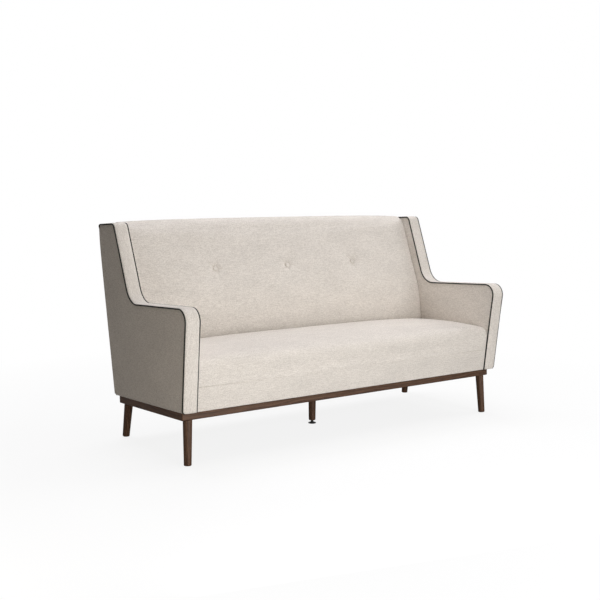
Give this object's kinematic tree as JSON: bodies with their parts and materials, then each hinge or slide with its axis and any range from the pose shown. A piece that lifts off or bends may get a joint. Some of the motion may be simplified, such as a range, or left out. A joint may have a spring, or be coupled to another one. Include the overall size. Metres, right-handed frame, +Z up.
{
  "type": "lounge sofa",
  "caption": "Lounge sofa with winged, dark-piped arms, a crowned buttoned back, a wide rolled seat and turned wooden legs splayed under a wooden plinth.",
  "frame": {"origin": "on the floor, under the middle of the sofa's overall box", "axes": "+Z up, +X along the sofa's width to the right of someone facing it, -Y to the front"},
  "size_m": [1.7034, 0.7692, 0.9426],
  "materials": {
    "sofa_cloth": "flat woven oatmeal melange",
    "piping_cloth": "dark charcoal piping cloth",
    "walnut": "oiled walnut, satin",
    "frame_beech": "planed beech, unfinished",
    "plywood": "birch plywood, unfinished",
    "foam": "polyether foam",
    "webbing": "woven elastic webbing",
    "felt": "needled felt",
    "dust_cloth": "black non-woven cloth",
    "steel": "zinc-plated steel",
    "black_steel": "blackened steel thread",
    "black_plastic": "matt black nylon",
    "twine": "waxed twine"
  },
  "bodies": {
    "sofa": {"arm_boxing_left": "sofa_cloth", "arm_boxing_right": "sofa_cloth", "arm_inner_cover_left": "sofa_cloth", "arm_inner_cover_right": "sofa_cloth", "arm_inner_foam_left": "foam", "arm_inner_foam_right": "foam", "arm_inner_piping_left": "piping_cloth", "arm_inner_piping_right": "piping_cloth", "arm_outer_cover_left": "sofa_cloth", "arm_outer_cover_right": "sofa_cloth", "arm_outer_foam_left": "foam", "arm_outer_foam_right": "foam", "arm_outer_piping_left": "piping_cloth", "arm_outer_piping_right": "piping_cloth", "arm_panel_left": "plywood", "arm_panel_right": "plywood", "back_button_slat": "frame_beech", "back_buttons": "sofa_cloth", "back_centre_post": "frame_beech", "back_cover": "sofa_cloth", "back_foam": "foam", "back_lower_rail": "frame_beech", "back_post_left": "frame_beech", "back_post_right": "frame_beech", "back_top_rail": "frame_beech", "back_webbing": "webbing", "button_toggles": "frame_beech", "button_twines": "twine", "dust_cover": "dust_cloth", "front_border": "sofa_cloth", "leg_bolts": "steel", "legs": "walnut", "outside_back": "sofa_cloth", "plinth_centre_beam": "frame_beech", "plinth_front_rail": "walnut", "plinth_left_rail": "walnut", "plinth_rear_rail": "walnut", "plinth_right_rail": "walnut", "seat_centre_stretcher": "frame_beech", "seat_corner_blocks": "frame_beech", "seat_cover": "sofa_cloth", "seat_deck": "felt", "seat_foam": "foam", "seat_front_rail": "frame_beech", "seat_left_rail": "frame_beech", "seat_rear_rail": "frame_beech", "seat_right_rail": "frame_beech", "seat_webbing": "webbing"},
    "glide_foot": {"glide_pad": "black_plastic", "glide_stem": "black_steel"}
  },
  "joints": [
    {"name": "glide_height", "type": "slide", "parent": "sofa", "child": "glide_foot", "axis": [0, 0, 1], "range_m": [-0.012, 0.0025]}
  ]
}
